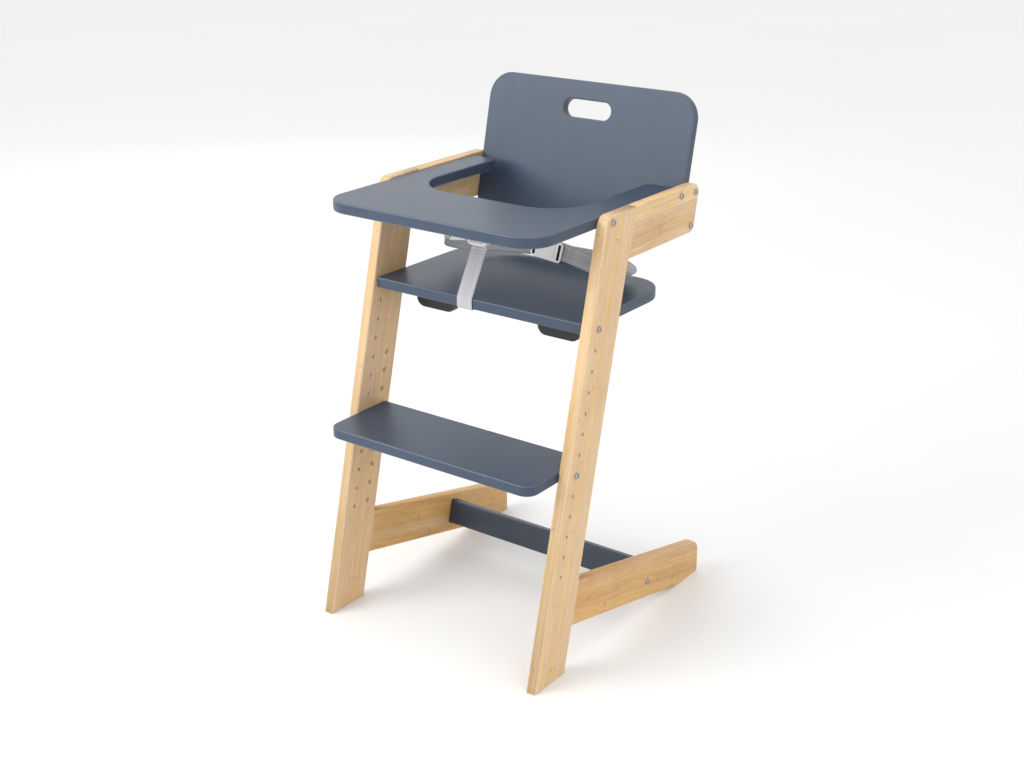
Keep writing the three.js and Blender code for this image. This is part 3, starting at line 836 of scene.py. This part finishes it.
def smooth_path(spots, count):
    """Evenly spaced points on a curve through spots: cubic pieces whose knots are apart by the
    square root of the distance, each tangent found from its three nearest spots."""
    spots = np.asarray(spots, float)
    spots = np.r_[[2 * spots[0] - spots[1]], spots, [2 * spots[-1] - spots[-2]]]
    p0, p1, p2, p3 = (spots[i:len(spots) - 3 + i] for i in range(4))
    knot = np.sqrt(np.linalg.norm(np.diff(spots, axis=0), axis=1))[:, None]
    k0, k1, k2 = knot[:-2], knot[1:-1], knot[2:]
    m1 = ((p1 - p0) / k0 - (p2 - p0) / (k0 + k1) + (p2 - p1) / k1) * k1
    m2 = ((p2 - p1) / k1 - (p3 - p1) / (k1 + k2) + (p3 - p2) / k2) * k1
    t = np.linspace(0, 1, CURVE_STEPS, endpoint=False)[:, None, None]
    curve = ((2 * t**3 - 3 * t**2 + 1) * p1 + (t**3 - 2 * t**2 + t) * m1
             + (3 * t**2 - 2 * t**3) * p2 + (t**3 - t**2) * m2)
    curve = np.r_[curve.transpose(1, 0, 2).reshape(-1, 3), [spots[-2]]]
    reach = np.r_[0, np.cumsum(np.linalg.norm(np.diff(curve, axis=0), axis=1))]
    even = np.linspace(0, reach[-1], count)
    return np.stack([np.interp(even, reach, curve[:, i]) for i in range(3)], 1), even


def level_wide(path):
    """Level, along x."""
    return np.tile([1.0, 0, 0], (len(path), 1))


HIP_LEAN = 1.05  # radians, the most that a belt's upper edge leans outwards
LEAN_ALONG = 262 * MM, 350 * MM  # y from the posts' front over which the lean comes in
LEAN_OUT = 60 * MM, 140 * MM  # x over which it does
HIP_CENTRE = 300 * MM  # y from the posts' front of the point that the belt leans away from


def belt_wide(path):
    """Upright in front and at the middle of the rear, its upper edge leaning outwards round the
    hips: sin(lean) outwards and cos(lean) up, the lean being HIP_LEAN times a smooth step in y and
    one in x."""
    def smooth(value, low, high):
        share = np.clip((value - low) / (high - low), 0, 1)
        return share**2 * (3 - 2 * share)

    x, y = path[:, 0], path[:, 1] - post_front
    lean = HIP_LEAN * smooth(y, *LEAN_ALONG) * smooth(abs(x), *LEAN_OUT)
    away = np.stack([x, y - HIP_CENTRE], 1)
    away /= np.linalg.norm(away, axis=1, keepdims=True)
    return np.c_[away * np.sin(lean)[:, None], np.cos(lean)]


SELVEDGE = 0.42 * WEB_W  # where the thicker sides start, from the webbing's middle
MIDDLE_SHARE = 0.86  # thickness between the selvedges, as a share of theirs


def strap(name, spots, wide_at, material, count=180):
    """Webbing along a curve. The section is a flat bar with round edges and thicker selvedges,
    set at each point by the curve's tangent and the wide direction square to it.
    UV is the distance across from the middle and the distance along, in metres."""
    path, along = smooth_path(spots, count)
    tangent = np.gradient(path, axis=0)
    tangent /= np.linalg.norm(tangent, axis=1, keepdims=True)
    wide = wide_at(path)
    wide = wide - (tangent * wide).sum(1, keepdims=True) * tangent
    wide /= np.linalg.norm(wide, axis=1, keepdims=True)
    thick = np.cross(tangent, wide)
    flat = np.linspace(1, -1, 15) * (WEB_W / 2 - WEB_T / 2)
    half = WEB_T / 2 * np.where(abs(flat) > SELVEDGE, 1.0, MIDDLE_SHARE)
    turn = np.linspace(0, np.pi, 7)[1:-1]
    end = WEB_W / 2 - WEB_T / 2 + WEB_T / 2 * np.sin(turn)
    a = np.r_[flat, -end, flat[::-1], end]
    h = np.r_[half, WEB_T / 2 * np.cos(turn), -half, -WEB_T / 2 * np.cos(turn)]
    points = path[:, None] + a[:, None] * wide[:, None] + h[:, None] * thick[:, None]
    index = np.arange(points.shape[0] * len(a)).reshape(-1, len(a))
    after = np.roll(index, -1, 1)
    faces = np.stack([index[:-1], after[:-1], after[1:], index[1:]], -1).reshape(-1, 4).tolist()
    faces += [index[0][::-1].tolist(), index[-1].tolist()]
    uv = np.stack(np.broadcast_arrays(a[None], along[:, None]), -1).reshape(-1, 2)
    surface = points.reshape(-1, 3), faces
    piece(f"{name}_webbing", surface, material, "seat", [name], uv)


SEAT_EDGE_R = 2 * MM  # of the arc that the webbing follows round the seat's edges
CROTCH_LEAN, ANCHOR_LEAN = 0.33, 0.1  # radians, where the webbing leaves the seat's edge


def under_seat(x, edge, outward, lean):
    """From the seat's underside round its front or rear edge, to lean radians past upright on the
    upper arc. The arcs are SEAT_EDGE_R plus STAND_OFF in radius."""
    turn = np.array([-1.0, -0.75, -0.5, -0.25, 0, 0, lean * 2 / np.pi]) * np.pi / 2
    reach = SEAT_EDGE_R + STAND_OFF
    height = np.array([seat_low.z + SEAT_EDGE_R] * 5 + [seat_high.z - SEAT_EDGE_R] * 2)
    y = edge - outward * (SEAT_EDGE_R - reach * np.cos(turn))
    bend = np.stack([np.full(7, x), y, height + reach * np.sin(turn)], 1)
    flat = [(x, edge - outward * inward * MM, seat_low.z - STAND_OFF) for inward in (60, 12)]
    return np.r_[flat, bend].tolist()


buckle_mid = middle("buckle")
strap_x = buckle_mid.x
crotch_path = [
    *under_seat(strap_x, seat_low.y, -1, CROTCH_LEAN),
    (strap_x, buckle_mid.y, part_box("buckle")[0].z - CLEAR),
]
crotch_web = webbing("crotch_webbing", (204, 203, 208), (148 * MM, 170 * MM))
strap("crotch_strap", crotch_path, level_wide, crotch_web)

# A belt runs from the buckle straight through its adjuster, then round the hip to the rear
BUCKLE_HALF = 19 * MM
BELT_BACK, BELT_DOWN = 0.28, 0.22  # how far a belt's front runs back and down per mm outwards
ADJUSTERS = {"left": 78 * MM, "right": 60 * MM}  # middle of each, from the belt's start
STRAIGHT_HALF = 28 * MM  # of the straight length about the adjuster's middle
BELT_START, BELT_FRONT, BELT_REAR = 196, 215, 400  # y from the posts' front in mm
BELT_HEIGHT = seat_high.z + 17 * MM  # of the belt ends behind the sitter
# Round the hip: x outwards and y from the posts' front in mm, and heights in metres
HIP = [(152, 262), (161, 300), (157, 348), (138, 382), (90, BELT_REAR - 1), (0.5, BELT_REAR)]
HIP_HEIGHTS = [630 * MM, 611 * MM, 590 * MM, BELT_HEIGHT - 3 * MM, BELT_HEIGHT, BELT_HEIGHT]
for word, side in SIDES.items():
    start = strap_x + side * (BUCKLE_HALF + 2 * CLEAR)

    def front(out):
        """Point of the belt's straight front, so far out from its start."""
        y = post_front + BELT_FRONT * MM + BELT_BACK * out
        return start + side * out, y, buckle_mid.z - BELT_DOWN * out

    hip = np.c_[np.array(HIP) * (side * MM, MM) + (0, post_front), HIP_HEIGHTS]
    out = ADJUSTERS[word]
    belt_path = [
        (start, post_front + BELT_START * MM, buckle_mid.z),
        front(out - STRAIGHT_HALF), front(out), front(out + STRAIGHT_HALF), *hip,
    ]
    web = webbing(f"belt_webbing_{word}", BELT_GREY, (out + 30 * MM, out + 56 * MM))
    strap(f"belt_{word}", belt_path, belt_wide, web, count=260)

anchor_path = [
    *under_seat(0, seat_high.y, 1, ANCHOR_LEAN),
    (0, post_front + BELT_REAR * MM + WEB_T + CLEAR, BELT_HEIGHT + 14 * MM),
]
strap("rear_anchor", anchor_path, level_wide, webbing("anchor_webbing", BELT_GREY, (0, 0)))


def facing(centre, right, lean=0.0):
    """Outline across and up a plate about centre, thickness towards the front."""
    across = np.array(right) / np.linalg.norm(right)
    up = np.array([0, math.sin(lean), math.cos(lean)])
    up = up - (up @ across) * across
    up /= np.linalg.norm(up)
    ahead = np.cross(across, up)

    def place(a, b, depth):
        spots = np.asarray(centre) + np.outer(a, across) + np.outer(b, up) + np.outer(depth, ahead)
        return spots.T

    return place


def about(a, b, half_a, half_b, radius):
    """Rounded rectangle with its middle at (a, b)."""
    return rectangle((a - half_a, b - half_b), (a + half_a, b + half_b), radius, radius, COARSE)


def slot(a, b, half_a, half_b, radius, rim, depth):
    """Slot sunk into a board's high face, as board() takes its holes."""
    return about(a, b, half_a, half_b, radius)[::-1], rim, depth, 1


# Buckle: a rounded body with two grip slots and one for the crotch strap, and a raised panel
BUCKLE_HALF_T, BUCKLE_HALF_H = 7 * MM, 18 * MM
BUCKLE_LOW_R, BUCKLE_HIGH_R, BUCKLE_ROUND = 7 * MM, 10 * MM, 2.5 * MM
BUCKLE_LEAN = 0.25
SLOT_RIM, SLOT_DEPTH = 0.5 * MM, 2.5 * MM

white = moulded("white_plastic", (236, 236, 234))
plate = facing(buckle_mid, (1, 0, 0), BUCKLE_LEAN)
slots = [
    slot(12.5 * MM, -1 * MM, 1.6 * MM, 6 * MM, 1.5 * MM, SLOT_RIM, SLOT_DEPTH),
    slot(-12.5 * MM, -1 * MM, 1.6 * MM, 6 * MM, 1.5 * MM, SLOT_RIM, SLOT_DEPTH),
    slot(0, -13 * MM, 13 * MM, 1.3 * MM, 1.2 * MM, SLOT_RIM, SLOT_DEPTH),
]
outline = rectangle((-BUCKLE_HALF, -BUCKLE_HALF_H), (BUCKLE_HALF, BUCKLE_HALF_H),
                    BUCKLE_LOW_R, BUCKLE_HIGH_R)
surface, _ = board(outline, -BUCKLE_HALF_T, BUCKLE_HALF_T, BUCKLE_ROUND, plate, slots)
piece("buckle_body", surface, white, "seat", ["buckle"])
outline = about(0, 2 * MM, 8.5 * MM, 9 * MM, 4 * MM)
surface, _ = board(outline, BUCKLE_HALF_T - 0.5 * MM, BUCKLE_HALF_T + 1.2 * MM, 0.8 * MM, plate)
piece("buckle_panel", surface, white, "seat")

# Adjusters: a plate on each belt with a slot at both ends, painted dark inside as shade, and a
# raised rib between them
PLATE_HALF, PLATE_HALF_H, PLATE_HALF_T = 26 * MM, 17 * MM, 1.75 * MM
WEB_SLOT_RIM, WEB_SLOT_DEPTH = 0.4 * MM, 2.6 * MM

for word, side in SIDES.items():
    plate = facing(middle(f"adjuster_{word}"), (1, side * BELT_BACK, -side * BELT_DOWN))
    slots = [
        slot(way * 20.5 * MM, 0, 1.7 * MM, 12.8 * MM, 1.2 * MM, WEB_SLOT_RIM, WEB_SLOT_DEPTH)
        for way in (1, -1)
    ]
    outline = about(0, 0, PLATE_HALF, PLATE_HALF_H, 6 * MM)
    surface, marks = board(outline, -PLATE_HALF_T, PLATE_HALF_T, 1 * MM, plate, slots)
    piece(f"adjuster_plate_{word}", surface, white, "seat", [f"adjuster_{word}"],
          marks=marks)
    outline = about(0, 0, 13 * MM, 12 * MM, 3 * MM)
    surface, _ = board(outline, 1.2 * MM, 2.7 * MM, 0.7 * MM, plate)
    piece(f"adjuster_rib_{word}", surface, white, "seat")
